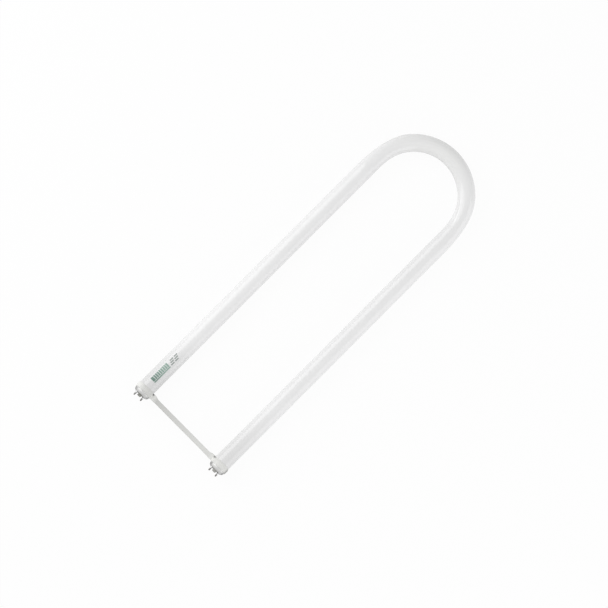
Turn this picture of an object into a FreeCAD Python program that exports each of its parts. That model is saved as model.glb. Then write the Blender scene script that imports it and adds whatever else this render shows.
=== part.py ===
"""U-bent fluorescent lamp: a bent glass tube, a two-pin base on each leg and a brace between the bases.

X runs across the legs, Y along them with the bend at +Y, and Z up. The lamp lies flat: Z = 0 is under the
brace collars, and Y = 0 is midway between the pin tips and the outside of the bend.
"""

import FreeCAD
import Part
import Sketcher
import math
import os
import re

# Driving dimensions, in millimetres
SIZES = {
    # Glass tube
    "leg_spacing": 152.4,  # between the axes of the legs
    "lamp_length": 572.0,  # from the base faces to the outside of the bend
    "tube_diameter": 26.0,
    "bend_lead": 32.0,  # from the end of the straight leg to the start of the half circle
    "bend_run_in": 1.6,  # still straight at the start of the lead, so that the bend leaves the leg smoothly
    "shoulder_shift": 1.3,  # of the tube's axis at the bend's shoulders, inwards
    "shoulder_narrowing": 0.8,  # of the tube's radius there
    "shoulder_gap": 0.2,  # from the rim of the base shell to the shoulder of the glass
    "glass_rim_place": 5.6,  # from the base face to the fused rim of the glass
    "glass_rim_width": 2.4,
    "stem_depth": 16.0,  # from the glass rim to the pressed seal
    "stem_throat_diameter": 9.2,
    "stem_flare_depth": 6.0,
    "exhaust_tip_diameter": 4.4,
    "exhaust_tip_length": 8.0,
    # Base shell
    "shell_inset": 0.2,  # the shell's surface below the tube's
    "shell_wall": 0.4,
    "shell_length": 12.9,  # from the base face to the open rim
    "lip_width": 0.6,  # of the flat face beyond the windows
    "nose_length": 4.5,  # from the flat face to the straight wall
    # Cement between shell and glass
    "cement_thickness": 0.65,
    "cement_length": 4.2,
    "cement_setback": 1.8,  # below the open rim of the shell
    # Insulator
    "insulator_depth": 3.0,  # from the base face to the insulator's back
    "insulator_clearance": 0.05,
    "window_gap": 0.25,  # round the pin collars
    "barrier_gap": 1.3,  # between the raised barrier and the pin collars
    "barrier_height": 14.0,
    "barrier_rise": 2.9,  # ahead of the base face
    "barrier_corner": 1.0,
    "barrier_edge": 0.5,
    # Contact pins
    "pin_spacing": 12.7,
    "pin_diameter": 2.35,
    "pin_shank_diameter": 2.8,  # inside the insulator
    "pin_length": 6.8,  # from the base face to the tip
    "pin_tip_wall": 1.0,
    "pin_bore": 1.2,
    "pin_collar_diameter": 4.6,
    "pin_collar_thickness": 1.2,
    "pin_rivet_diameter": 3.4,
    "pin_rivet_thickness": 0.6,
    # Lead wires
    "lead_diameter": 0.8,
    "lead_spacing": 6.6,  # between the two leads in the stem
    "lead_straight": 0.4,  # behind the pin's rivet, before the lead bends
    "lead_bend_length": 5.4,
    # Brace
    "brace_clearance": 0.05,  # round the base shells
    "collar_wall": 1.25,
    "collar_rim_wall": 0.25,  # at the end of the collar's taper
    "collar_start": 4.9,  # from the base face
    "collar_length": 8.7,
    "collar_land": 6.2,  # before the taper
    "collar_edge": 1.0,
    "bar_place": 9.3,  # from the base face to the middle of the bar
    "bar_width": 6.7,
    "bar_thickness": 4.6,
    "bar_edge": 0.7,
    "flare_length": 7.9,
    "flare_rise": 1.8,  # on the side of the bend
    "flare_dip": 0.4,  # on the side of the pins
    "flare_end": 3.2,  # of even width, beside the collar
    "relief_place": 6.4,  # of the slot between flare and collar, from the start of the collar
    "relief_width": 0.7,
    "relief_floor": 1.0,
    "channel_wall": 1.3,
    "channel_web": 1.6,
    "channel_rib": 1.2,
    "channel_cells": 6,
}

# Places and radii that follow from the driving dimensions
FACE_PLACE = "(pin_length - lamp_length) / 2"
BEND_START = "(lamp_length - tube_diameter / 2 - leg_spacing / 2)"
TUBE_RADIUS = "tube_diameter / 2"
SHELL_RADIUS = "(tube_diameter / 2 - shell_inset)"
SHELL_BORE = f"({SHELL_RADIUS} - shell_wall)"
NECK_RADIUS = f"({SHELL_BORE} - cement_thickness)"
WINDOW_ROUND = "(pin_collar_diameter / 2 + window_gap)"
BARRIER_HALF = "(pin_spacing / 2 - pin_collar_diameter / 2 - barrier_gap)"
FACE_RADIUS = f"(pin_spacing / 2 + {WINDOW_ROUND} + lip_width)"
NOSE_DRAW = f"({SHELL_RADIUS} - {FACE_RADIUS})"
NOSE_RADIUS = f"(({NOSE_DRAW}^2 + nose_length^2) / (2 * {NOSE_DRAW}))"
NOSE_INSIDE = f"sqrt(({NOSE_RADIUS} - shell_wall)^2 - (nose_length - shell_wall)^2)"
INNER_FACE_RADIUS = f"({SHELL_RADIUS} - {NOSE_RADIUS} + {NOSE_INSIDE})"
PRESS_PLACE = "(glass_rim_place + stem_depth)"
PIN_BORE_END = "(pin_tip_wall - pin_length)"
BRACE_BORE = f"({SHELL_RADIUS} + brace_clearance)"
COLLAR_RADIUS = f"({BRACE_BORE} + collar_wall)"
BAR_END = f"(leg_spacing / 2 - {COLLAR_RADIUS})"
FLARE_OUT = f"({BAR_END} - flare_end)"
FLARE_IN = f"({FLARE_OUT} - flare_length)"
AXIS_HEIGHT = f"max({TUBE_RADIUS}; {COLLAR_RADIUS})"

SIDES = {"left": -1, "right": 1}

# Lengths below this count as nothing when edges are picked
NO_LENGTH = 1e-6

# Round sections of the bend, evenly spaced from shoulder to shoulder, in degrees round the half circle
SHOULDER_ANGLE = 5
BEND_STATIONS = 7

doc = FreeCAD.newDocument("u_bent_lamp")
sheet = doc.addObject("Spreadsheet::Sheet", "sizes")
for row, (alias, size) in enumerate(SIZES.items(), start=1):
    sheet.set(f"A{row}", alias)
    sheet.set(f"B{row}", str(size))
    sheet.setAlias(f"B{row}", alias)
doc.recompute()


def expression(text):
    """The text with each size's name pointed at its cell."""
    return re.sub(r"[a-z_]+", lambda word: f"sizes.{word[0]}" if word[0] in SIZES else word[0], text)


def value(text):
    return float(sheet.evalExpression(expression(text)))


def bind(thing, prop, text):
    thing.setExpression(prop, expression(text))


def add_body(label, across):
    """A body whose own origin is on the base face, at the height of the tube's axis."""
    body = doc.addObject("PartDesign::Body", label)
    body.Label = label
    bind(body, "Placement.Base.x", across)
    bind(body, "Placement.Base.y", FACE_PLACE)
    bind(body, "Placement.Base.z", AXIS_HEIGHT)
    return body


def origin_feature(body, role):
    return next(feature for feature in body.Origin.OriginFeatures if feature.Role == role)


def add_sketch(body, name, plane, offset="0", turn=0):
    """A sketch on a plane of the body, turned about its upright axis and moved along its normal."""
    sketch = body.newObject("Sketcher::SketchObject", f"{body.Name}_{name}")
    sketch.AttachmentSupport = (origin_feature(body, plane), [""])
    sketch.MapMode = "FlatFace"
    turning = FreeCAD.Rotation(FreeCAD.Vector(0, 1, 0), turn)
    sketch.AttachmentOffset = FreeCAD.Placement(FreeCAD.Vector(), turning)
    bind(sketch, "AttachmentOffset.Base.z", offset)
    return sketch


def fix_point(sketch, geometry, end, place):
    """Holds one end of a line or arc, or a circle's centre, at the place that two expressions give."""
    for kind, axis, text in zip(("DistanceX", "DistanceY"), (-2, -1), place):
        if text == "0":
            sketch.addConstraint(Sketcher.Constraint("PointOnObject", geometry, end, axis))
        else:
            number = sketch.addConstraint(Sketcher.Constraint(kind, -1, 1, geometry, end, value(text)))
            bind(sketch, f"Constraints[{number}]", text)


def fix_radius(sketch, geometry, radius):
    number = sketch.addConstraint(Sketcher.Constraint("Radius", geometry, value(radius)))
    bind(sketch, f"Constraints[{number}]", radius)


def draw_circle(sketch, across, up, radius):
    centre = FreeCAD.Vector(value(across), value(up), 0)
    circle = sketch.addGeometry(Part.Circle(centre, FreeCAD.Vector(0, 0, 1), value(radius)), False)
    fix_point(sketch, circle, 3, (across, up))
    fix_radius(sketch, circle, radius)


def arc_between(start, end, radius, turn):
    """The shorter arc from start to end, with its centre to the left (turn 1) or right (turn -1)."""
    chord = end - start
    reach = math.sqrt(max(radius**2 - chord.Length**2 / 4, 0))
    sideways = FreeCAD.Vector(-chord.y, chord.x, 0).normalize() * turn
    centre = (start + end) / 2 + sideways * reach
    first, last = (start, end) if turn > 0 else (end, start)
    angles = [math.atan2(point.y - centre.y, point.x - centre.x) for point in (first, last)]
    return Part.ArcOfCircle(Part.Circle(centre, FreeCAD.Vector(0, 0, 1), radius), *angles)


def draw_path(sketch, corners, closed=True):
    """Draws lines and arcs from corner to corner.

    A corner is (across, up) where a line leaves it, and (across, up, radius, turn) where an arc does.
    """
    places = [FreeCAD.Vector(value(corner[0]), value(corner[1]), 0) for corner in corners]
    steps = len(corners) if closed else len(corners) - 1
    ends = []
    for step in range(steps):
        corner = corners[step]
        start, end = places[step], places[(step + 1) % len(corners)]
        if len(corner) == 2:
            piece = sketch.addGeometry(Part.LineSegment(start, end), False)
            ends.append((piece, 1, 2))
        else:
            radius, turn = corner[2:]
            piece = sketch.addGeometry(arc_between(start, end, value(radius), turn), False)
            ends.append((piece, 1, 2) if turn > 0 else (piece, 2, 1))
    meetings = list(zip(ends, ends[1:]))
    if closed:
        meetings.append((ends[-1], ends[0]))
    for (piece, _, last), (following, first, _) in meetings:
        sketch.addConstraint(Sketcher.Constraint("Coincident", piece, last, following, first))
    if not closed:
        fix_point(sketch, ends[-1][0], ends[-1][2], corners[-1][:2])
    for corner, (piece, first, _) in zip(corners, ends):
        fix_point(sketch, piece, first, corner[:2])
        if len(corner) == 4:
            fix_radius(sketch, piece, corner[2])


def rectangle(left, bottom, right, top):
    return [(left, bottom), (right, bottom), (right, top), (left, top)]


def ogee(start, end, radius, turn):
    """The two corners of an S-curve from start towards end, whose first arc bends to the turn's side."""
    middle = [f"({first} + {last}) / 2" for first, last in zip(start, end)]
    return [(*start, radius, turn), (*middle, radius, -turn)]


def revolve(body, name, corners, axis="0"):
    """A solid of revolution about a line along Y, which the axis places; corners are (radius, along)."""
    sketch = add_sketch(body, f"{name}_outline", "XY_Plane")
    if axis == "0":
        turning_line = "V_Axis"
    else:
        corners = [(f"{axis} + {corner[0]}", *corner[1:]) for corner in corners]
        line = sketch.addGeometry(Part.LineSegment(*axis_ends(axis)), True)
        fix_point(sketch, line, 1, (axis, "0"))
        fix_point(sketch, line, 2, (axis, "lamp_length"))
        turning_line = "Axis0"
    draw_path(sketch, corners)
    feature = body.newObject("PartDesign::Revolution", f"{body.Name}_{name}")
    feature.Profile = sketch
    feature.ReferenceAxis = (sketch, [turning_line])
    feature.Angle = 360
    return feature


def axis_ends(axis):
    return FreeCAD.Vector(value(axis), 0, 0), FreeCAD.Vector(value(axis), value("lamp_length"), 0)


def mirror_across_legs(body, feature):
    """Repeats a feature on the other leg."""
    mirrored = body.newObject("PartDesign::Mirrored", f"{feature.Name}_other_leg")
    mirrored.Originals = [feature]
    mirrored.MirrorPlane = (origin_feature(body, "YZ_Plane"), [""])
    body.Tip = mirrored
    return mirrored


def build_glass_tube():
    """One sealed tube: a bend and two legs, each drawn down to a neck with a flared stem fused in."""
    body = add_body("glass_tube", "0")
    add_bend(body)
    rim_round = "glass_rim_width / 2"
    rim_centre = f"(glass_rim_place + {rim_round})"
    tip_radius = "exhaust_tip_diameter / 2"
    throat_radius = "stem_throat_diameter / 2"
    shoulder = "(shell_length + shoulder_gap)"
    shoulder_round = f"({TUBE_RADIUS} - {NECK_RADIUS})"
    tip_end = f"{PRESS_PLACE} - exhaust_tip_length"
    leg = revolve(
        body,
        "leg",
        [
            ("0", tip_end, tip_radius, 1),
            (tip_radius, f"{tip_end} + {tip_radius}"),
            (tip_radius, PRESS_PLACE),
            (throat_radius, PRESS_PLACE),
            (throat_radius, f"{rim_centre} + stem_flare_depth"),
            (f"{NECK_RADIUS} - glass_rim_width", rim_centre, rim_round, 1),
            (f"{NECK_RADIUS} - {rim_round}", "glass_rim_place", rim_round, 1),
            (NECK_RADIUS, rim_centre),
            (NECK_RADIUS, shoulder, shoulder_round, 1),
            (TUBE_RADIUS, f"{shoulder} + {shoulder_round}"),
            (TUBE_RADIUS, f"{BEND_START} - bend_lead"),
            ("0", f"{BEND_START} - bend_lead"),
        ],
        axis="leg_spacing / 2",
    )
    mirror_across_legs(body, leg)
    return body


def add_bend(body):
    """A half circle lofted through round sections, which the stretched glass draws in at both shoulders."""
    spread = (180 - 2 * SHOULDER_ANGLE) / (BEND_STATIONS - 1)
    stations = [(SHOULDER_ANGLE + spread * number, "0") for number in range(BEND_STATIONS)]
    straight = ["bend_lead", "(bend_lead - bend_run_in)"]
    stations = [(0, back) for back in straight] + stations + [(180, back) for back in reversed(straight)]
    sections = []
    for number, (angle, back) in enumerate(stations):
        section = add_sketch(body, f"bend_section_{number}", "XZ_Plane", f"{back} - {BEND_START}", angle)
        pull = drawn_in(angle) if back == "0" else 0
        centre = f"leg_spacing / 2 - shoulder_shift * {pull}"
        draw_circle(section, centre, "0", f"{TUBE_RADIUS} - shoulder_narrowing * {pull}")
        sections.append(section)
    bend = body.newObject("PartDesign::AdditiveLoft", "glass_tube_bend")
    bend.Profile = sections[0]
    bend.Sections = sections[1:]


def drawn_in(angle):
    """How far a section is drawn in: 1 at a shoulder, easing to 0 at the crown."""
    return ((90 - min(angle, 180 - angle)) / (90 - SHOULDER_ANGLE)) ** 2


def build_base_shell(side):
    """A drawn aluminium cup with a rounded nose and three windows, for the two pins and the barrier."""
    body = add_body(f"{side}_base_shell", f"{SIDES[side]} * leg_spacing / 2")
    revolve(
        body,
        "cup",
        [
            ("0", "0"),
            (FACE_RADIUS, "0", NOSE_RADIUS, 1),
            (SHELL_RADIUS, "nose_length"),
            (SHELL_RADIUS, "shell_length"),
            (SHELL_BORE, "shell_length"),
            (SHELL_BORE, "nose_length", f"{NOSE_RADIUS} - shell_wall", -1),
            (INNER_FACE_RADIUS, "shell_wall"),
            ("0", "shell_wall"),
        ],
    )
    half_width = f"({BARRIER_HALF} + insulator_clearance)"
    half_height = "(barrier_height / 2 + insulator_clearance)"
    windows_sketch = add_sketch(body, "windows_outline", "XZ_Plane")
    draw_path(windows_sketch, rectangle(f"-{half_width}", f"-{half_height}", half_width, half_height))
    for direction in ("-", ""):
        draw_circle(windows_sketch, f"{direction}pin_spacing / 2", "0", WINDOW_ROUND)
    windows = body.newObject("PartDesign::Pocket", f"{body.Name}_windows")
    windows.Profile = windows_sketch
    windows.Type = "ThroughAll"
    return body


def build_cement(side):
    """The ring of cured cement that holds the shell on the neck of the glass."""
    body = add_body(f"{side}_cement", f"{SIDES[side]} * leg_spacing / 2")
    top = "(shell_length - cement_setback)"
    revolve(body, "ring", rectangle(NECK_RADIUS, f"{top} - cement_length", SHELL_BORE, top))
    return body


def build_insulator(side):
    """A disc behind the shell's face, whose barrier rises through its window between the two pins."""
    body = add_body(f"{side}_insulator", f"{SIDES[side]} * leg_spacing / 2")
    disc_radius = f"({INNER_FACE_RADIUS} - insulator_clearance)"
    revolve(body, "disc", rectangle("0", "shell_wall", disc_radius, "insulator_depth"))

    half_height = "barrier_height / 2"
    barrier_sketch = add_sketch(body, "barrier_outline", "XZ_Plane", "-shell_wall")
    draw_path(barrier_sketch, rectangle(f"-{BARRIER_HALF}", f"-{half_height}", BARRIER_HALF, half_height))
    barrier = body.newObject("PartDesign::Pad", f"{body.Name}_barrier")
    barrier.Profile = barrier_sketch
    bind(barrier, "Length", "shell_wall + barrier_rise")
    doc.recompute()

    corners = body.newObject("PartDesign::Fillet", f"{body.Name}_barrier_corners")
    corners.Base = (barrier, edges_where(barrier, is_barrier_corner))
    bind(corners, "Radius", "barrier_corner")
    doc.recompute()
    front = body.newObject("PartDesign::Fillet", f"{body.Name}_barrier_front")
    front.Base = (corners, edges_where(corners, is_barrier_front))
    bind(front, "Radius", "barrier_edge")

    holes_sketch = add_sketch(body, "pin_holes_outline", "XZ_Plane")
    for direction in ("-", ""):
        draw_circle(holes_sketch, f"{direction}pin_spacing / 2", "0", "pin_shank_diameter / 2")
    holes = body.newObject("PartDesign::Pocket", f"{body.Name}_pin_holes")
    holes.Profile = holes_sketch
    holes.Type = "ThroughAll"
    return body


def edges_where(feature, test):
    """Names of the feature's edges that pass a test."""
    return [f"Edge{number}" for number, edge in enumerate(feature.Shape.Edges, start=1) if test(edge)]


def is_barrier_corner(edge):
    """The barrier's four corners run along Y to its front."""
    box = edge.BoundBox
    return box.YMin < -value("barrier_rise") / 2 and box.YLength > value("barrier_rise") / 2


def is_barrier_front(edge):
    """The edges round the barrier's front lie a full rise ahead of the base face."""
    return edge.BoundBox.YMax < NO_LENGTH - value("barrier_rise")


def build_pin(side, position):
    """A hollow turned pin with a collar on the insulator and its inner end riveted over."""
    outward = -SIDES[side] if position == "inner" else SIDES[side]
    across = f"{SIDES[side]} * leg_spacing / 2 + {outward} * pin_spacing / 2"
    body = add_body(f"{side}_{position}_pin", across)
    pin_radius = "pin_diameter / 2"
    collar_radius = "pin_collar_diameter / 2"
    shank_radius = "pin_shank_diameter / 2"
    rivet_radius = "pin_rivet_diameter / 2"
    bore_radius = "pin_bore / 2"
    collar_front = "(shell_wall - pin_collar_thickness)"
    rivet_end = "insulator_depth + pin_rivet_thickness"
    revolve(
        body,
        "turning",
        [
            ("0", "-pin_length", pin_radius, 1),
            (pin_radius, f"{pin_radius} - pin_length"),
            (pin_radius, collar_front),
            (collar_radius, collar_front),
            (collar_radius, "shell_wall"),
            (shank_radius, "shell_wall"),
            (shank_radius, "insulator_depth"),
            (rivet_radius, "insulator_depth"),
            (rivet_radius, rivet_end),
            (bore_radius, rivet_end),
            (bore_radius, PIN_BORE_END),
            ("0", PIN_BORE_END),
        ],
    )
    return body


def build_lead(side, position):
    """A lead wire from the pressed seal, bent outwards in two arcs and run down the bore of its pin."""
    outward = -SIDES[side] if position == "inner" else SIDES[side]
    body = add_body(f"{side}_{position}_lead", f"{SIDES[side]} * leg_spacing / 2")
    in_stem = f"{outward} * lead_spacing / 2"
    in_pin = f"{outward} * pin_spacing / 2"
    shift = "((pin_spacing - lead_spacing) / 2)"
    bend_end = "(insulator_depth + pin_rivet_thickness + lead_straight)"
    bend_start = f"({bend_end} + lead_bend_length)"
    bend_radius = f"({shift}^2 + lead_bend_length^2) / (4 * {shift})"
    path = add_sketch(body, "path", "XY_Plane")
    draw_path(
        path,
        [
            (in_stem, PRESS_PLACE),
            (in_stem, bend_start, bend_radius, outward),
            (f"({in_stem} + {in_pin}) / 2", f"({bend_start} + {bend_end}) / 2", bend_radius, -outward),
            (in_pin, bend_end),
            (in_pin, PIN_BORE_END),
        ],
        closed=False,
    )
    section = add_sketch(body, "section", "XZ_Plane", f"-{PRESS_PLACE}")
    draw_circle(section, in_stem, "0", "lead_diameter / 2")
    wire = body.newObject("PartDesign::AdditivePipe", f"{body.Name}_wire")
    wire.Profile = section
    wire.Spine = path
    return body


def build_brace():
    """One moulding: a collar round each base shell and a flared bar between them, cored out from below."""
    body = add_body("leg_brace", "0")
    add_brace_bar(body)
    add_brace_collars(body)
    add_brace_reliefs(body)
    add_brace_channel(body)
    return body


def add_brace_bar(body):
    """The bar runs into both collars, and its sides sweep out in S-curves beside them."""
    leg = "leg_spacing / 2"
    bar_low = "(bar_place - bar_width / 2)"
    bar_high = "(bar_place + bar_width / 2)"
    end_low = f"({bar_low} - flare_dip)"
    end_high = f"({bar_high} + flare_rise)"
    low_radius = "(flare_length^2 + flare_dip^2) / (4 * flare_dip)"
    high_radius = "(flare_length^2 + flare_rise^2) / (4 * flare_rise)"
    sketch = add_sketch(body, "bar_outline", "XY_Plane")
    draw_path(
        sketch,
        [
            (f"-{leg}", end_low),
            *ogee((f"-{FLARE_OUT}", end_low), (f"-{FLARE_IN}", bar_low), low_radius, 1),
            (f"-{FLARE_IN}", bar_low),
            *ogee((FLARE_IN, bar_low), (FLARE_OUT, end_low), low_radius, -1),
            (FLARE_OUT, end_low),
            (leg, end_low),
            (leg, end_high),
            *ogee((FLARE_OUT, end_high), (FLARE_IN, bar_high), high_radius, 1),
            (FLARE_IN, bar_high),
            *ogee((f"-{FLARE_IN}", bar_high), (f"-{FLARE_OUT}", end_high), high_radius, -1),
            (f"-{FLARE_OUT}", end_high),
            (f"-{leg}", end_high),
        ],
    )
    bar = body.newObject("PartDesign::Pad", "leg_brace_bar")
    bar.Profile = sketch
    bar.SideType = "Symmetric"
    bind(bar, "Length", "bar_thickness")
    doc.recompute()

    rounding = body.newObject("PartDesign::Fillet", "leg_brace_bar_edges")
    rounding.Base = (bar, edges_where(bar, is_long_bar_edge))
    bind(rounding, "Radius", "bar_edge")


def is_long_bar_edge(edge):
    """The edges round the bar's top and bottom lie level."""
    return edge.BoundBox.ZLength < NO_LENGTH


def add_brace_collars(body):
    """A ring with a land on the pin side and a taper towards the glass, bored to fit the shells."""
    collar_end = "collar_start + collar_length"
    collar = revolve(
        body,
        "collar",
        [
            (BRACE_BORE, "collar_start"),
            (f"{COLLAR_RADIUS} - collar_edge", "collar_start", "collar_edge", 1),
            (COLLAR_RADIUS, "collar_start + collar_edge"),
            (COLLAR_RADIUS, "collar_start + collar_land"),
            (f"{BRACE_BORE} + collar_rim_wall", collar_end),
            (BRACE_BORE, collar_end),
        ],
        axis="leg_spacing / 2",
    )
    mirror_across_legs(body, collar)
    bores_sketch = add_sketch(body, "bores_outline", "XZ_Plane")
    for direction in ("-", ""):
        draw_circle(bores_sketch, f"{direction}leg_spacing / 2", "0", BRACE_BORE)
    bores = body.newObject("PartDesign::Pocket", "leg_brace_bores")
    bores.Profile = bores_sketch
    bores.Type = "ThroughAll"


def add_brace_reliefs(body):
    """Each flare stops short of the glass, and a blind slot in its top frees the thin end of the collar."""
    leg = "leg_spacing / 2"
    near = f"({leg} - {BRACE_BORE} - collar_rim_wall)"
    collar_end = "collar_start + collar_length"
    past_flare = f"{collar_end} + bar_width"
    clearing_sketch = add_sketch(body, "clearing_outline", "XY_Plane")
    draw_path(clearing_sketch, rectangle(near, collar_end, leg, past_flare))
    clearing = body.newObject("PartDesign::Pocket", "leg_brace_clearing")
    clearing.Profile = clearing_sketch
    clearing.SideType = "Symmetric"
    bind(clearing, "Length", "2 * bar_thickness")
    mirror_across_legs(body, clearing)

    slot_start = "collar_start + relief_place"
    slot_sketch = add_sketch(body, "slot_outline", "XY_Plane", "relief_floor - bar_thickness / 2")
    draw_path(slot_sketch, rectangle(f"({near} - relief_width)", slot_start, near, past_flare))
    slot = body.newObject("PartDesign::Pocket", "leg_brace_slot")
    slot.Profile = slot_sketch
    slot.Reversed = True
    bind(slot, "Length", "bar_thickness")
    mirror_across_legs(body, slot)


def add_brace_channel(body):
    """Equal cells in the underside of the bar, with a rib between each two."""
    cell = f"((2 * {FLARE_IN} + channel_rib) / channel_cells - channel_rib)"
    half_width = "(bar_width / 2 - channel_wall)"
    sketch = add_sketch(body, "cell_outline", "XY_Plane", "bar_thickness / 2 - channel_web")
    draw_path(
        sketch,
        rectangle(
            f"-{FLARE_IN}",
            f"bar_place - {half_width}",
            f"{cell} - {FLARE_IN}",
            f"bar_place + {half_width}",
        ),
    )
    hollow = body.newObject("PartDesign::Pocket", "leg_brace_cell")
    hollow.Profile = sketch
    bind(hollow, "Length", "bar_thickness")
    doc.recompute()
    cells = body.newObject("PartDesign::LinearPattern", "leg_brace_cells")
    cells.Originals = [hollow]
    cells.Direction = (sketch, ["H_Axis"])
    bind(cells, "Length", f"2 * {FLARE_IN} - {cell}")
    bind(cells, "Occurrences", "channel_cells")
    body.Tip = cells


def write_parts(bodies):
    """Checks every object and every sub-part's shape, then writes one file for each sub-part."""
    doc.recompute()
    for thing in doc.Objects:
        if "Invalid" in thing.State or "Error" in thing.State:
            raise RuntimeError(f"{thing.Label} failed: {thing.State}")
    for body in bodies:
        if body.Shape.isNull() or not body.Shape.isValid() or len(body.Shape.Solids) != 1:
            raise RuntimeError(f"{body.Label} is not one valid solid")
    os.makedirs("parts", exist_ok=True)
    for body in bodies:
        body.Shape.exportStep(f"parts/{body.Label}.step")
        print(f"{body.Label}: {body.Shape.Volume:.1f} mm3")


bodies = [build_glass_tube(), build_brace()]
for side in SIDES:
    bodies += [build_base_shell(side), build_cement(side), build_insulator(side)]
    for position in ("outer", "inner"):
        bodies += [build_pin(side, position), build_lead(side, position)]
write_parts(bodies)
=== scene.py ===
# %% [markdown]
# A U-bent fluorescent lamp
#
# The lamp is a white glass tube bent into a U. Each leg ends in an aluminium base with two pins, and a
# moulded brace keeps the legs apart. The solids come from the CAD frame at their real size, so this lesson is
# about what the frame lacks: the finish of every surface, the print on the glass, the light and the camera.

# %% Load the frame
import math

import bmesh
import bpy
from mathutils import Matrix, Vector


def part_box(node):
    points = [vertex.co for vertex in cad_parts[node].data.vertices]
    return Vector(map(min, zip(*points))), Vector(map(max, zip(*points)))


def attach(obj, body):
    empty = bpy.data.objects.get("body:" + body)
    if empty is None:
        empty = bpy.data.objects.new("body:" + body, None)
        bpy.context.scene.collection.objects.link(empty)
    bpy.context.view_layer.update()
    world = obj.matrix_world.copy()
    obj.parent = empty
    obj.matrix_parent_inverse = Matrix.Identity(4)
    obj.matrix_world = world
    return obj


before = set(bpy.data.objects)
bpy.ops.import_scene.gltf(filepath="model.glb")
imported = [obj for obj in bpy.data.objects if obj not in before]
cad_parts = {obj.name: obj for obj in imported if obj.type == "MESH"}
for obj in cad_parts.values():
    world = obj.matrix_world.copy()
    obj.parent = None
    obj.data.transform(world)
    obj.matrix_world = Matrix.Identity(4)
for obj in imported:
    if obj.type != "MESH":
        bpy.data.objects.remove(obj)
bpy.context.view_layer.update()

print("CAD nodes:", len(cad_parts))

# %% [markdown]
# Read the lamp's own sizes
#
# A place that is typed in twice drifts apart the day the CAD changes. So the axes of the legs, the radius of
# the tube and the edges of the brace are read from the boxes of the nodes, and all that follows is placed
# from them.

# %% Measure the frame
MM = 0.001


def middle(node):
    """The middle of a node's box."""
    low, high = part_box(node)
    return (low + high) / 2


left_axis = middle("left_base_shell")
right_axis = middle("right_base_shell")
axis_height = left_axis.z
glass_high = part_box("glass_tube")[1]
tube_radius = glass_high.x - right_axis.x
bend_radius = right_axis.x
bend_centre = glass_high.y - bend_radius - tube_radius
base_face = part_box("left_base_shell")[0].y
brace_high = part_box("leg_brace")[1]
brace_edge = brace_high.y
collar_radius = brace_high.x - right_axis.x
print(f"tube radius {tube_radius / MM:.2f} mm, bend radius {bend_radius / MM:.2f} mm")

# %% [markdown]
# Tools for the finishes
#
# A material is a graph: textures read the place of each point, and their values reach the shader's sockets. A
# few helpers keep the graphs short to read. Object coordinates are used all through, because every object
# sits at the origin, so a pattern has its real size in metres and stays put when the lamp is seen from
# another side.

# %% Helpers for node graphs
COLOUR_A = 6
COLOUR_B = 7
MIXED_COLOUR = 2


def new_finish(name):
    """A new material, its shader and the point being shaded."""
    finish = bpy.data.materials.new(name)
    finish.use_nodes = True
    shader = finish.node_tree.nodes["Principled BSDF"]
    point = finish.node_tree.nodes.new("ShaderNodeTexCoord").outputs["Object"]
    return finish, shader, point


def feed(socket, source):
    """Links an output to a socket, or sets a plain value on it."""
    if isinstance(source, bpy.types.NodeSocket):
        socket.id_data.links.new(source, socket)
    else:
        socket.default_value = source


def add_node(shader, kind, inputs, **settings):
    """A node beside the shader, with its settings made and its inputs fed."""
    node = shader.id_data.nodes.new(kind)
    for name, setting in settings.items():
        setattr(node, name, setting)
    for name, source in inputs.items():
        feed(node.inputs[name], source)
    return node


def coordinates(shader, point):
    """The X, Y and Z of a point."""
    return add_node(shader, "ShaderNodeSeparateXYZ", {0: point}).outputs


def stretch(shader, point, scale):
    """The point scaled along each axis, which draws a pattern out along the axis with the smallest scale."""
    return add_node(shader, "ShaderNodeMapping", {"Vector": point, "Scale": scale}).outputs["Vector"]


def noise(shader, point, scale, detail=3.0):
    """Cloudy noise from 0 to 1; the scale is in patches to the metre."""
    inputs = {"Vector": point, "Scale": scale, "Detail": detail}
    return add_node(shader, "ShaderNodeTexNoise", inputs).outputs[0]


def math_node(shader, operation, first, second=0.0):
    return add_node(shader, "ShaderNodeMath", {0: first, 1: second}, operation=operation).outputs[0]


def ease(shader, value, start, end, low=0.0, high=1.0):
    """Takes the value from low at start to high at end, with soft ends."""
    inputs = {"Value": value, "From Min": start, "From Max": end, "To Min": low, "To Max": high}
    return add_node(shader, "ShaderNodeMapRange", inputs, interpolation_type="SMOOTHSTEP").outputs[0]


def mix(shader, share, first, second):
    """Two colours mixed; a share of 1 gives the second."""
    node = add_node(shader, "ShaderNodeMix", {"Factor": share}, data_type="RGBA")
    feed(node.inputs[COLOUR_A], first)
    feed(node.inputs[COLOUR_B], second)
    return node.outputs[MIXED_COLOUR]


def grey(level, tint=(1.0, 1.0, 1.0)):
    return (level * tint[0], level * tint[1], level * tint[2], 1.0)


def relief(shader, height, depth):
    """A bump of a real depth in metres."""
    return add_node(shader, "ShaderNodeBump", {"Height": height, "Distance": depth}).outputs["Normal"]


print("node helpers ready")

# %% [markdown]
# Directions on a bent tube
#
# The glass drew into fine streaks along the tube where it was bent, so their pattern has to follow the bend.
# The tube could be unwrapped into a UV map, but a formula is shorter: beyond the centre of the bend, the
# distance from that centre takes the place of plain X. Along the tube the point runs slowly, so that a cloudy
# noise is drawn out into streaks.

# %% A point that runs with the tube
SLOWED = 0.04
INNER_SIDE = (bend_radius - 2.0 * MM, bend_radius - 7.0 * MM)
PAST_THE_LEG = (bend_centre + 5.0 * MM, bend_centre + 20.0 * MM)
SHORT_OF_CROWN = (bend_centre + 60.0 * MM, bend_centre + 45.0 * MM)
RIGHT_SHOULDER = (15.0 * MM, 30.0 * MM)
GLINT_LINES = (1.0, 2.5, 1.0)
GLINT_PATCHES = 330.0


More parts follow.
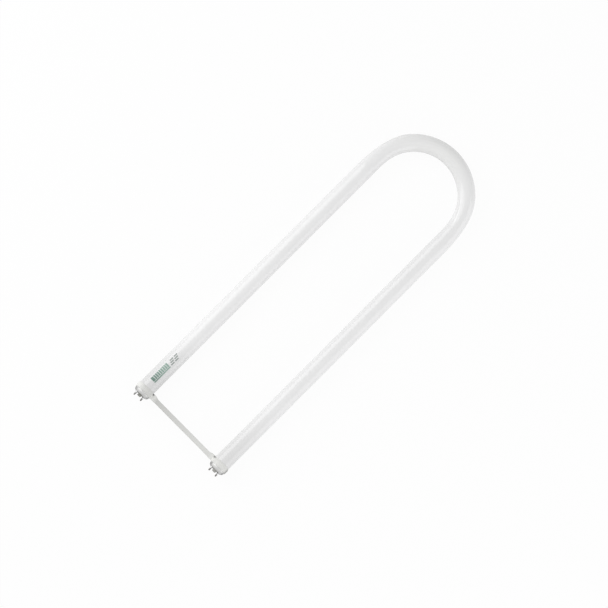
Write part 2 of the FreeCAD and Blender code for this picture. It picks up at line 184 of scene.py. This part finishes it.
def along_the_tube(shader, point):
    """The point's place across the tube, its slowed place along the tube, and its height."""
    place = coordinates(shader, point)
    past_centre = math_node(shader, "SUBTRACT", place["Y"], bend_centre)
    past_centre = math_node(shader, "MAXIMUM", past_centre, 0.0)
    flat = add_node(shader, "ShaderNodeCombineXYZ", {"X": place["X"], "Y": past_centre}).outputs[0]
    across = add_node(shader, "ShaderNodeVectorMath", {0: flat}, operation="LENGTH").outputs["Value"]
    slow = math_node(shader, "MULTIPLY", math_node(shader, "ADD", place["X"], place["Y"]), SLOWED)
    inputs = {"X": across, "Y": slow, "Z": place["Z"]}
    return add_node(shader, "ShaderNodeCombineXYZ", inputs).outputs[0]


def painted_glints(shader, point, running):
    """Painted glints: thin pale lines on the inner side of the right shoulder, standing in for highlights on
    rippled glass.
    """
    place = coordinates(shader, point)
    lines = noise(shader, stretch(shader, running, GLINT_LINES), GLINT_PATCHES)
    share = ease(shader, lines, 0.5, 0.56)
    limits = (
        ease(shader, coordinates(shader, running)["X"], *INNER_SIDE),
        ease(shader, place["Y"], *PAST_THE_LEG),
        ease(shader, place["Y"], *SHORT_OF_CROWN),
        ease(shader, place["X"], *RIGHT_SHOULDER),
    )
    for limit in limits:
        share = math_node(shader, "MULTIPLY", share, limit)
    return share


print(f"the bend is centred at Y {bend_centre / MM:.1f} mm")

# %% [markdown]
# White glass
#
# The tube is clear glass with a white powder on its inside. It could be modelled as two walls, but the powder
# hides all that lies behind it, so one wall does: a white base for the powder under a clear, glossy coat for
# In the bend the powder was stretched thin and the glass is rippled; the bend is greyer on the left and paler
# on the right, where a highlight is painted.
# Near the bases the white is a little greyer, and painted shade makes it greyer at the left base than at the
# right.

# %% The finish of the glass
COOL = (1.0, 1.0, 1.005)
YELLOWED = (1.0, 1.0, 0.985)
LEG_WHITES = (grey(0.855, COOL), grey(0.89))
END_GREYS_SHADED_LEFT = (grey(0.72), grey(0.78))
THIN_AND_LIT_WHITES = (grey(0.825, YELLOWED), grey(0.88))
STREAK_WHITE = grey(0.91)
GLINT_WHITE = grey(0.99)
GREY_END = (brace_edge, brace_edge + 110.0 * MM)
BEND_LEFT_TO_LIT_RIGHT = (-10.0 * MM, 60.0 * MM)
STRETCHED = (bend_centre - 10.0 * MM, bend_centre + 85.0 * MM)
RIPPLED = (bend_centre - 40.0 * MM, bend_centre + 30.0 * MM)
RIPPLE_DEPTH = 0.12 * MM
POWDER_PATCHES = 60.0
STREAK_PATCHES = 420.0


def white_glass():
    finish, shader, point = new_finish("white_glass_finish")
    place = coordinates(shader, point)
    running = along_the_tube(shader, point)
    powder = noise(shader, point, POWDER_PATCHES)
    streaks = noise(shader, running, STREAK_PATCHES)

    # Painted shade: the ends are greyer at the left base than at the right.
    end_grey_shaded_left = mix(shader, ease(shader, place["X"], left_axis.x, right_axis.x), *END_GREYS_SHADED_LEFT)
    leg_white = mix(shader, powder, *LEG_WHITES)
    leg_white = mix(shader, ease(shader, place["Y"], *GREY_END), end_grey_shaded_left, leg_white)
    # Painted highlight: the bend's right side is paler than its left; the thin powder greys the whole bend.
    thin_and_lit_white = mix(shader, ease(shader, place["X"], *BEND_LEFT_TO_LIT_RIGHT), *THIN_AND_LIT_WHITES)
    bend_white = mix(shader, streaks, thin_and_lit_white, STREAK_WHITE)
    white = mix(shader, ease(shader, place["Y"], *STRETCHED), leg_white, bend_white)
    # Painted glints on the inner side of the right shoulder.
    white = mix(shader, painted_glints(shader, point, running), white, GLINT_WHITE)
    feed(shader.inputs["Base Color"], white)

    ripples = math_node(shader, "MULTIPLY", streaks, ease(shader, place["Y"], *RIPPLED))
    for socket in ("Normal", "Coat Normal"):
        feed(shader.inputs[socket], relief(shader, ripples, RIPPLE_DEPTH))
    feed(shader.inputs["Roughness"], ease(shader, powder, 0.3, 0.7, 0.5, 0.6))
    shader.inputs["Specular IOR Level"].default_value = 0.2
    shader.inputs["Coat Weight"].default_value = 1.0
    shader.inputs["Coat Roughness"].default_value = 0.02
    shader.inputs["Coat IOR"].default_value = 1.5
    return finish


glass_finish = white_glass()
print("made", glass_finish.name)

# %% [markdown]
# Moulded plastic for the brace
#
# The brace is one moulding in a warm pale grey. Plain plastic looks dead in one colour, so small things are
# added: the melt left faint flow marks along the bar, the mould left a fine grain, and the gloss is uneven.
# Painted light makes the bar and collars paler towards the right. The flares lie in the shade of the collars,
# and painted light makes them paler than the bar. Painted shade darkens the corner where each flare ends
# beside the glass. It could be a decal, but a distance from one point is enough, and the absolute value of X
# lays the same mark on both sides. A painted highlight pales the outer side of the left collar, and painted
# shade greys that of the right collar.

# %% The finish of the brace
WARM = (1.0, 1.003, 0.975)
BAR_GREYS_LIT_TO_RIGHT = (grey(0.615, WARM), grey(0.80, WARM))
FLARE_PAINTED_LIGHT_GREY = grey(0.92, WARM)
COLLAR_GREYS_LIT_TO_RIGHT = (grey(0.70, WARM), grey(0.79, WARM))
LIT_FLANK_GREY = grey(0.83, WARM)
SHADED_FLANK_GREY = grey(0.42, WARM)
FLOW_GREY = grey(0.5, WARM)
CORNER_SHADE_GREY = grey(0.42, WARM)
FLOW_LINES = (12.0, 160.0, 160.0)
FLOW_SHARE = 0.12
GRAIN_PATCHES = 2600.0
GRAIN_DEPTH = 0.02 * MM

collar_side = right_axis.x - collar_radius
FLARES = (right_axis.x - 25.0 * MM, collar_side - 1.0 * MM)
COLLARS = (collar_side, collar_side + 0.1 * collar_radius)
LEFT_LIT_FLANK = (left_axis.x - 0.35 * collar_radius, left_axis.x - 0.8 * collar_radius)
RIGHT_SHADED_FLANK = (right_axis.x + 0.72 * collar_radius, right_axis.x + 0.9 * collar_radius)
CORNER_SHADE_PLACE = Vector((right_axis.x - 13.7 * MM, base_face + 12.8 * MM, 0.0))
CORNER_SHADE_RADIUS = 2.6 * MM
CORNER_SHADE_FADE = (0.3 * CORNER_SHADE_RADIUS, CORNER_SHADE_RADIUS)


def clear_of_corner_shade(shader, from_middle, along):
    """0 in the painted shade of each flare's corner, 1 away from it."""
    mirrored = add_node(shader, "ShaderNodeCombineXYZ", {"X": from_middle, "Y": along}).outputs[0]
    away = add_node(shader, "ShaderNodeVectorMath", {0: mirrored, 1: CORNER_SHADE_PLACE}, operation="DISTANCE")
    return ease(shader, away.outputs["Value"], *CORNER_SHADE_FADE)


def collar_grey(shader, across, lit_towards_right):
    """The grey of the collars, with a painted highlight on the outer side of the left one and painted shade
    on that of the right one.
    """
    # Painted light: the collars are paler towards the right.
    collar = mix(shader, lit_towards_right, *COLLAR_GREYS_LIT_TO_RIGHT)
    # Painted highlight on the left collar's outer side, painted shade on the right collar's.
    collar = mix(shader, ease(shader, across, *LEFT_LIT_FLANK), collar, LIT_FLANK_GREY)
    return mix(shader, ease(shader, across, *RIGHT_SHADED_FLANK), collar, SHADED_FLANK_GREY)


def moulded_plastic():
    finish, shader, point = new_finish("brace_plastic_finish")
    place = coordinates(shader, point)
    from_middle = math_node(shader, "ABSOLUTE", place["X"])
    lit_towards_right = ease(shader, place["X"], left_axis.x, right_axis.x)
    flow = noise(shader, stretch(shader, point, FLOW_LINES), 1.0)
    grain = noise(shader, point, GRAIN_PATCHES)

    collar = collar_grey(shader, place["X"], lit_towards_right)
    # Painted light: the bar is paler towards the right.
    colour = mix(shader, lit_towards_right, *BAR_GREYS_LIT_TO_RIGHT)
    # Painted light: the flares are paler than the bar, against the collars' shade.
    colour = mix(shader, ease(shader, from_middle, *FLARES), colour, FLARE_PAINTED_LIGHT_GREY)
    colour = mix(shader, ease(shader, from_middle, *COLLARS), colour, collar)
    colour = mix(shader, ease(shader, flow, 0.0, 1.0, 0.0, FLOW_SHARE), colour, FLOW_GREY)
    # Painted shade in the corner where each flare meets the glass.
    colour = mix(shader, clear_of_corner_shade(shader, from_middle, place["Y"]), CORNER_SHADE_GREY, colour)
    feed(shader.inputs["Base Color"], colour)

    feed(shader.inputs["Roughness"], ease(shader, flow, 0.3, 0.7, 0.38, 0.5))
    feed(shader.inputs["Normal"], relief(shader, grain, GRAIN_DEPTH))
    shader.inputs["Specular IOR Level"].default_value = 0.25
    return finish


brace_finish = moulded_plastic()
print("made", brace_finish.name)

# %% [markdown]
# Metal: drawn aluminium, plated pins and drawn wire
#
# All three were pulled or turned about the axis of the leg, so their marks are rings round Y, or lines along
# it on the wire. One function makes them: a noise that is squeezed along one axis into lines feeds roughness
# and relief. One more mark comes on top for each kind: a painted dark reflection on the sides of the shells'
# noses, and pins that are paler at the root than towards the tip.

# %% Metal with lines and wear
STAINED = 0.9
STAIN_PATCHES = 240.0
DARK_REFLECTION_SIDES = (8.3 * MM, 10.8 * MM)
DARK_REFLECTION_NOSE = (base_face + 5.2 * MM, base_face + 3.0 * MM)
PIN_ROOT = (base_face - 3.6 * MM, base_face - 2.2 * MM)


def lined_metal(name, colour, edge, lines, depth, gloss, mark=None, mark_grey=None):
    """Bare metal with fine lines.

    The edge is how bright it stays at a slant, and gloss its range of roughness. A mark, where there is one,
    is a function that gives the share of the mark's grey at a point.
    """
    finish, shader, point = new_finish(name)
    marks = noise(shader, stretch(shader, point, lines), 1.0)
    stain = noise(shader, point, STAIN_PATCHES)
    dull = tuple(STAINED * part for part in colour[:3]) + (1.0,)
    worn = mix(shader, stain, dull, colour)
    if mark:
        worn = mix(shader, mark(shader, point), worn, mark_grey)
    feed(shader.inputs["Base Color"], worn)
    feed(shader.inputs["Roughness"], ease(shader, marks, 0.25, 0.75, *gloss))
    feed(shader.inputs["Normal"], relief(shader, marks, depth))
    shader.inputs["Metallic"].default_value = 1.0
    shader.inputs["Specular Tint"].default_value = grey(edge)
    return finish


def at_the_root(shader, point):
    """1 on the collar and the root of a pin, where it is paler, and 0 towards its tip."""
    return ease(shader, coordinates(shader, point)["Y"], *PIN_ROOT)


def dark_reflection_on_nose_sides(shader, point):
    """1 on both sides of a shell's nose, where a dark reflection is painted, and 0 away from them."""
    place = coordinates(shader, point)
    from_middle = math_node(shader, "ABSOLUTE", place["X"])
    off_axis = math_node(shader, "ABSOLUTE", math_node(shader, "SUBTRACT", from_middle, right_axis.x))
    sides = ease(shader, off_axis, *DARK_REFLECTION_SIDES)
    nose = ease(shader, place["Y"], *DARK_REFLECTION_NOSE)
    return math_node(shader, "MULTIPLY", sides, nose)


print("lined metal ready, with marks for the noses and the pins")

# %% [markdown]
# Four metals from one function
#
# The two shells are the same aluminium. The left one is a little rougher, and painted shade makes it a little
# darker, so each has a finish of its own.
# The pins are nickel plated. The lead wires, which can be seen only with a base taken apart, are copper.

# %% Shells, pins and wires
ROUND_LINES = (30.0, 5200.0, 30.0)
LONG_LINES = (5200.0, 60.0, 5200.0)
SHELL_LINE_DEPTH = 0.008 * MM
PIN_LINE_DEPTH = 0.005 * MM
WIRE_LINE_DEPTH = 0.004 * MM
SILVERY = (1.0, 1.0, 0.99)
aluminium = grey(0.79, SILVERY)
# Painted shade: the left shell is a little darker than the right.
shaded_aluminium = grey(0.76, SILVERY)
nickel = grey(0.24, (1.0, 0.98, 0.94))
copper = (0.66, 0.46, 0.32, 1.0)

shell_finish = lined_metal(
    "shell_finish",
    aluminium,
    edge=0.2,
    lines=ROUND_LINES,
    depth=SHELL_LINE_DEPTH,
    gloss=(0.58, 0.74),
    mark=dark_reflection_on_nose_sides,
    mark_grey=grey(0.48),
)
dull_and_shaded_shell_finish = lined_metal(
    "dull_and_shaded_shell_finish",
    shaded_aluminium,
    edge=0.25,
    lines=ROUND_LINES,
    depth=SHELL_LINE_DEPTH,
    gloss=(0.6, 0.76),
    mark=dark_reflection_on_nose_sides,
    mark_grey=grey(0.56),
)
pin_finish = lined_metal(
    "pin_finish",
    nickel,
    edge=0.6,
    lines=ROUND_LINES,
    depth=PIN_LINE_DEPTH,
    gloss=(0.18, 0.34),
    mark=at_the_root,
    mark_grey=grey(0.7),
)
wire_finish = lined_metal(
    "wire_finish",
    copper,
    edge=1.0,
    lines=LONG_LINES,
    depth=WIRE_LINE_DEPTH,
    gloss=(0.25, 0.4),
)
print("made", shell_finish.name, dull_and_shaded_shell_finish.name, pin_finish.name, wire_finish.name)

# %% [markdown]
# The dark insulators and the cement
#
# Moulding powder with a filler gives an insulator a speckled, dull face, and painted light makes it paler on
# the right-hand base. Cured cement is a sandy paste. All are one idea at two grain sizes: two colours mixed
# by grain, and the grain again as relief.

# %% The grainy finishes
FILLER = {"grains": 2400.0, "depth": 0.03 * MM}
SAND = {"grains": 1400.0, "depth": 0.08 * MM}


def grainy(name, dark, light, roughness, grains, depth):
    finish, shader, point = new_finish(name)
    grain = noise(shader, point, grains, detail=6.0)
    feed(shader.inputs["Base Color"], mix(shader, ease(shader, grain, 0.35, 0.65), dark, light))
    feed(shader.inputs["Roughness"], ease(shader, grain, 0.3, 0.7, roughness - 0.1, roughness + 0.1))
    feed(shader.inputs["Normal"], relief(shader, grain, depth))
    return finish


phenolic = (grey(0.19, (1.0, 1.0, 0.88)), grey(0.28, (1.0, 1.0, 0.9)))
# Painted light: the right-hand insulator is paler than the left.
lit_right_phenolic = (grey(0.3, (1.0, 1.0, 0.93)), grey(0.44, (1.0, 1.0, 0.95)))
sandy = ((0.42, 0.35, 0.25, 1.0), (0.62, 0.55, 0.43, 1.0))
dark_insulator = grainy("dark_insulator_finish", *phenolic, roughness=0.5, **FILLER)
lit_right_insulator = grainy("dusty_insulator_finish", *lit_right_phenolic, roughness=0.6, **FILLER)
cement_finish = grainy("cement_finish", *sandy, roughness=0.8, **SAND)
print("made", dark_insulator.name, lit_right_insulator.name, cement_finish.name)

# %% [markdown]
# Dress the CAD nodes
#
# The solids of the frame have the right shapes, so they stay, and each one only swaps the material in its
# slot.

# %% Give each node its finish
FINISHES = {
    "glass_tube": glass_finish,
    "leg_brace": brace_finish,
    "left_base_shell": dull_and_shaded_shell_finish,
    "right_base_shell": shell_finish,
    "cement": cement_finish,
    "left_insulator": dark_insulator,
    "right_insulator": lit_right_insulator,
    "pin": pin_finish,
    "lead": wire_finish,
}
for name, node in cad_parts.items():
    ending = next(part for part in FINISHES if name.endswith(part))
    node.data.materials.clear()
    node.data.materials.append(FINISHES[ending])
print("dressed", len(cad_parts), "nodes")

# %% [markdown]
# Ink on a round tube
#
# The left leg carries a small print beside its base. It could be painted by the glass material, but a texture
# on so long a tube would blur it, so each bar is a thin film of ink. A straight edge laid along the tube and
# spun a few degrees about the leg's axis sweeps out a film that hugs the glass. Its corners are rounded, as
# ink draws in before it dries, and the film then gets its thickness.

# %% Tools for the print
INK_LIFT = 0.01 * MM
INK_THICKNESS = 0.03 * MM
INK_CORNER = 0.25 * MM
SPIN_STEP = 0.6 * MM


def ink_film(mesh, start, length, low, height):
    """One bar: its start and length along the tube, and its low side and height round it, from the top."""
    radius = tube_radius + INK_LIFT
    turn = Matrix.Rotation(-low / radius, 3, "Y")
    arm = turn @ Vector((0.0, 0.0, radius))
    centre = Vector((left_axis.x, 0.0, axis_height))
    places = (start, start + length)
    ends = [mesh.verts.new(centre + arm + Vector((0.0, place, 0.0))) for place in places]
    edge = mesh.edges.new(ends)
    spun = bmesh.ops.spin(
        mesh,
        geom=[*ends, edge],
        cent=centre,
        axis=(0.0, 1.0, 0.0),
        angle=-height / radius,
        steps=max(2, round(height / SPIN_STEP)),
        use_duplicate=False,
    )
    last = [part for part in spun["geom_last"] if isinstance(part, bmesh.types.BMVert)]
    bmesh.ops.bevel(
        mesh,
        geom=[*ends, *last],
        offset=INK_CORNER,
        affect="VERTICES",
        segments=3,
        profile=0.5,
        material=-1,
    )


def finish_piece(name, mesh, finish):
    """Makes a bmesh into an object that rides on the lamp."""
    data = bpy.data.meshes.new(name)
    mesh.to_mesh(data)
    mesh.free()
    data.materials.append(finish)
    piece = bpy.data.objects.new(name, data)
    bpy.context.scene.collection.objects.link(piece)
    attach(piece, "root")


def ink_field(name, finish, bars):
    """One piece from many bars of ink."""
    mesh = bmesh.new()
    for bar in bars:
        ink_film(mesh, *bar)
    bmesh.ops.recalc_face_normals(mesh, faces=mesh.faces)
    bmesh.ops.solidify(mesh, geom=mesh.faces, thickness=INK_THICKNESS)
    finish_piece(name, mesh, finish)


print(f"ink films are {INK_THICKNESS / MM:.2f} mm thick")

# %% [markdown]
# The print
#
# The print is a green field of plain bars on a base line, followed by rows of grey dashes. The stamp put its
# ink on full at the first bar and was nearly spent at the last, so the ink's own colour thins out along the
# tube, in patches.

# %% Green bars and grey dashes
PRINT_START = brace_edge + 10.75 * MM
INK_SPENT = PRINT_START + 26.0 * MM
FIELD_LOW = -2.85 * MM
BASE_LINE_LENGTH = 32.4 * MM
BASE_LINE_HEIGHT = 1.8 * MM
FIRST_BAR_LENGTH = 4.4 * MM
BAR_LENGTH = 2.7 * MM
BAR_START = PRINT_START + 5.1 * MM
BAR_PITCH = 3.45 * MM
BAR_LOW = FIELD_LOW + 2.3 * MM
BAR_HEIGHT = 7.2 * MM
BAR_COUNT = 8
DASH_LENGTH = 6.4 * MM
DASH_START = PRINT_START + 34.7 * MM
DASH_PITCH = 8.2 * MM
DASH_LOW = FIELD_LOW + 0.6 * MM
DASH_HEIGHT = 1.9 * MM
DASH_COUNT = 2
ROW_PITCH = 3.1 * MM
ROW_SHIFT = 1.6 * MM
ROW_COUNT = 3
INK_PATCHES = 700.0


def printing_ink(name, full, thin):
    """Ink that was put on full at the start of the print and thin towards its end, in patches."""
    finish, shader, point = new_finish(name)
    spent = ease(shader, coordinates(shader, point)["Y"], PRINT_START, INK_SPENT, 0.0, 0.7)
    cover = noise(shader, point, INK_PATCHES)
    share = math_node(shader, "ADD", spent, ease(shader, cover, 0.35, 0.7, 0.0, 0.3))
    feed(shader.inputs["Base Color"], mix(shader, share, full, thin))
    feed(shader.inputs["Roughness"], ease(shader, cover, 0.3, 0.7, 0.35, 0.55))
    return finish


green_bars = [
    (PRINT_START, BASE_LINE_LENGTH, FIELD_LOW, BASE_LINE_HEIGHT),
    (PRINT_START, FIRST_BAR_LENGTH, BAR_LOW, BAR_HEIGHT),
]
for number in range(BAR_COUNT):
    green_bars.append((BAR_START + number * BAR_PITCH, BAR_LENGTH, BAR_LOW, BAR_HEIGHT))
green_ink = printing_ink("green_ink", (0.13, 0.22, 0.18, 1.0), (0.33, 0.46, 0.40, 1.0))
ink_field("green_print_bars", green_ink, green_bars)

grey_bars = []
for row in range(ROW_COUNT):
    for number in range(DASH_COUNT):
        start = DASH_START + row * ROW_SHIFT + number * DASH_PITCH
        grey_bars.append((start, DASH_LENGTH, DASH_LOW + row * ROW_PITCH, DASH_HEIGHT))
grey_ink = printing_ink("grey_ink", (0.20, 0.22, 0.21, 1.0), (0.36, 0.40, 0.38, 1.0))
ink_field("grey_print_dashes", grey_ink, grey_bars)
print("ink bars:", len(green_bars) + len(grey_bars))

# %% [markdown]
# The floor
#
# The lamp lies on a white floor. A floor that is white only because it is flooded with light would burn the
# lamp out too. So the light stays plain, and the floor's own material shows most of its white straight to the
# camera, and a smaller share in reflections, through the Light Path node. The rest is an ordinary lit surface
# that takes a shadow.

# %% Lay the floor
FLOOR_HALF = 6.0
FLOOR_TO_CAMERA = 0.94
FLOOR_IN_REFLECTIONS = 0.3


def seen_directly(tree, to_camera, in_reflections):
    """A share for rays from the camera, one for mirrored or refracted rays, and 0 for other light."""
    shares = {
        "Is Camera Ray": to_camera,
        "Is Glossy Ray": in_reflections,
        "Is Transmission Ray": in_reflections,
    }
    path = tree.nodes.new("ShaderNodeLightPath")
    total = 0.0
    for name, share in shares.items():
        part = tree.nodes.new("ShaderNodeMath")
        part.operation = "MULTIPLY_ADD"
        part.use_clamp = True
        feed(part.inputs[0], path.outputs[name])
        feed(part.inputs[1], share)
        feed(part.inputs[2], total)
        total = part.outputs[0]
    return total


def floor_finish():
    finish = bpy.data.materials.new("floor_finish")
    finish.use_nodes = True
    tree = finish.node_tree
    shader = tree.nodes["Principled BSDF"]
    shader.inputs["Base Color"].default_value = grey(0.9)
    shader.inputs["Roughness"].default_value = 0.9
    shader.inputs["Specular IOR Level"].default_value = 0.0
    glow = tree.nodes.new("ShaderNodeEmission")
    blend = tree.nodes.new("ShaderNodeMixShader")
    feed(blend.inputs[0], seen_directly(tree, FLOOR_TO_CAMERA, FLOOR_IN_REFLECTIONS))
    feed(blend.inputs[1], shader.outputs[0])
    feed(blend.inputs[2], glow.outputs[0])
    feed(tree.nodes["Material Output"].inputs["Surface"], blend.outputs[0])
    return finish


floor_mesh = bmesh.new()
bmesh.ops.create_grid(floor_mesh, x_segments=2, y_segments=2, size=FLOOR_HALF)
floor_data = bpy.data.meshes.new("floor")
floor_mesh.to_mesh(floor_data)
floor_mesh.free()
floor_data.materials.append(floor_finish())
floor = bpy.data.objects.new("floor", floor_data)
bpy.context.scene.collection.objects.link(floor)
print("floor", 2 * FLOOR_HALF, "m square")

# %% [markdown]
# The light
#
# The light is a pale room with one broad soft lamp on each side. Glass mirrors a lamp with a sharp edge, and
# in the picture such an edge runs along each leg, a little left of its crown. So the left lamp stands high
# enough for its upper edge to be mirrored there. It stands towards the bases, because the left shoulder of
# the bend mirrors no lamp. The right lamp is weaker and lower, and stands towards the bend, where it lights
# the outside of the curve.

# %% World and lamps
ROOM_LIGHT = 0.57
ROOM_TO_CAMERA = 1.0
ROOM_IN_REFLECTIONS = 0.25
LEFT_LAMP = {"place": Vector((-1.38, -0.65, 0.985)), "width": 1.36, "length": 2.3, "power": 18.0}
RIGHT_LAMP = {"place": Vector((1.6, 0.3, 0.62)), "width": 1.4, "length": 2.6, "power": 13.4}

scene = bpy.context.scene
scene.view_settings.view_transform = "Standard"


def pale_room():
    world = bpy.data.worlds.new("pale_room")
    scene.world = world
    world.use_nodes = True
    tree = world.node_tree
    level = tree.nodes.new("ShaderNodeMix")
    level.data_type = "FLOAT"
    level.inputs["A"].default_value = ROOM_LIGHT
    level.inputs["B"].default_value = 1.0
    background = tree.nodes["Background"]
    background.inputs["Color"].default_value = grey(1.0)
    feed(level.inputs["Factor"], seen_directly(tree, ROOM_TO_CAMERA, ROOM_IN_REFLECTIONS))
    feed(background.inputs["Strength"], level.outputs["Result"])


def stand(thing, place, right, up, back):
    """Puts a lamp or a camera in its place, with its own X, Y and Z along right, up and back."""
    turned = Matrix((right, up, back)).transposed().to_4x4()
    thing.matrix_world = Matrix.Translation(place) @ turned


def soft_lamp(name, place, width, length, power):
    """A rectangular lamp that faces straight across the legs, with its length along them."""
    data = bpy.data.lights.new(name, "AREA")
    data.shape = "RECTANGLE"
    data.size = width
    data.size_y = length
    data.energy = power
    lamp = bpy.data.objects.new(name, data)
    scene.collection.objects.link(lamp)
    lamp.visible_camera = False
    along = Vector((0.0, 1.0, 0.0))
    back = (place - Vector((0.0, place.y, axis_height))).normalized()
    stand(lamp, place, along.cross(back), along, back)


pale_room()
soft_lamp("left_lamp", **LEFT_LAMP)
soft_lamp("right_lamp", **RIGHT_LAMP)
print("lamps:", [light.name for light in bpy.data.lights])

# %% [markdown]
# The camera
#
# The photograph looks down on the lamp from far away, a few degrees off the vertical, with the legs slanting
# up to the right. A long lens gives that flat view. The camera is turned about its own line of sight until
# the legs lie at their angle in the picture, and its distance sets the scale.

# %% Place the camera
PICTURE_WIDTH = 871.6 * MM
LENS = 800.0
SENSOR = 36.0
LEG_ANGLE = math.radians(45.03)
TILT_TO_BASE = math.radians(7.0)
TILT_TO_LEFT = math.radians(3.0)
PICTURE_MIDDLE = Vector((-1.7 * MM, -23.15 * MM, axis_height))

toward_camera = Vector((-math.sin(TILT_TO_LEFT), -math.sin(TILT_TO_BASE), 0.0))
toward_camera.z = math.sqrt(1.0 - toward_camera.length_squared)
leg_line = Vector((0.0, 1.0, 0.0))
leg_line = (leg_line - leg_line.dot(toward_camera) * toward_camera).normalized()
right = Matrix.Rotation(-LEG_ANGLE, 3, toward_camera) @ leg_line
up = toward_camera.cross(right)

camera_data = bpy.data.cameras.new("camera")
camera_data.lens = LENS
camera_data.sensor_width = SENSOR
camera = bpy.data.objects.new("camera", camera_data)
scene.collection.objects.link(camera)
distance = PICTURE_WIDTH * LENS / SENSOR
stand(camera, PICTURE_MIDDLE + toward_camera * distance, right, up, toward_camera)
scene.camera = camera
print(f"camera {distance:.2f} m away")
